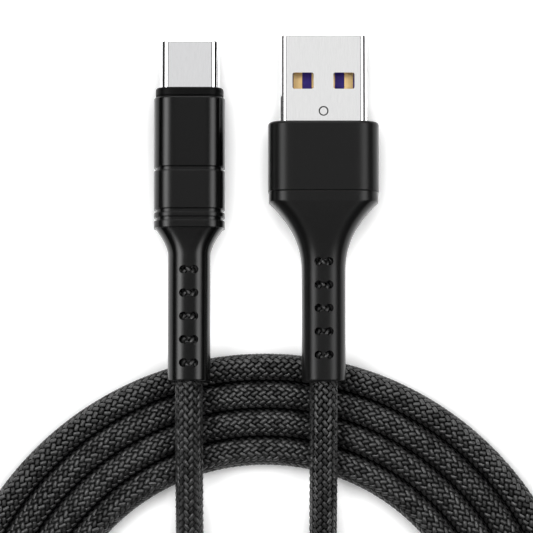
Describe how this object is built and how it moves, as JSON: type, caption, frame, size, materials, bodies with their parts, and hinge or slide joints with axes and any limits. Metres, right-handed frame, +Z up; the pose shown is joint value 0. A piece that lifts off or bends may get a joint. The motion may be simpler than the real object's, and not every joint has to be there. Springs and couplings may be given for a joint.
{
  "type": "charging cable",
  "caption": "Braided charging cable lying in a flat coil, with a USB-A plug and a USB-C plug that have metal sleeves and slotted strain reliefs.",
  "frame": {"origin": "on the table, under the middle of the two plugs' footprint; the cord's coil and leads lie on the -Y side and are left out of the claims", "axes": "+Y the way both plugs point, +X to the right seen from above, +Z up"},
  "size_m": [0.0889, 0.1339, 0.0099],
  "materials": {
    "plug_steel": "satin nickel-plated steel, fine grain along the plug",
    "shield_steel": "plain tinned steel",
    "contact_gold": "gold plate, bright",
    "carrier_blue": "smooth violet-blue plastic",
    "carrier_black": "smooth black plastic",
    "mould_white": "natural soft plastic",
    "core_plastic": "dark grey moulded plastic",
    "sleeve_metal": "fine-blasted black anodised aluminium, satin",
    "collar_plastic": "black plastic, matte",
    "boot_rubber": "black elastomer, fine matte texture",
    "wire_red": "red wire insulation",
    "wire_white": "white wire insulation",
    "wire_green": "green wire insulation",
    "wire_black": "black wire insulation",
    "board_green": "green solder mask on glass-fibre board",
    "resistor_black": "black chip component",
    "cord_braid": "tight charcoal nylon braid with a soft sheen"
  },
  "bodies": {
    "root": {"usb_a_shell": "plug_steel", "usb_a_contact_carrier": "carrier_blue", "usb_a_contact_power": "contact_gold", "usb_a_contact_data_minus": "contact_gold", "usb_a_contact_data_plus": "contact_gold", "usb_a_contact_ground": "contact_gold", "usb_a_back_shield": "shield_steel", "usb_a_solder_mould": "mould_white", "usb_a_core": "core_plastic", "usb_a_front_sleeve": "sleeve_metal", "usb_a_strain_relief": "boot_rubber", "usb_a_wire_red": "wire_red", "usb_a_wire_white": "wire_white", "usb_a_wire_green": "wire_green", "usb_a_wire_black": "wire_black", "usb_a_cord_end": "cord_braid", "usb_c_shell": "plug_steel", "usb_c_contact_carrier": "carrier_black", "usb_c_upper_contacts": "contact_gold", "usb_c_lower_contacts": "contact_gold", "usb_c_latch_plate": "shield_steel", "usb_c_board": "board_green", "usb_c_resistor": "resistor_black", "usb_c_rear_shield": "shield_steel", "usb_c_core": "core_plastic", "usb_c_collar": "collar_plastic", "usb_c_front_sleeve": "sleeve_metal", "usb_c_rear_sleeve": "sleeve_metal", "usb_c_strain_relief": "boot_rubber", "usb_c_wire_red": "wire_red", "usb_c_wire_white": "wire_white", "usb_c_wire_green": "wire_green", "usb_c_wire_black": "wire_black", "usb_c_cord_end": "cord_braid", "cord_lead_usb_a": "cord_braid", "cord_coil": "cord_braid", "cord_lead_usb_c": "cord_braid"}
  },
  "joints": []
}
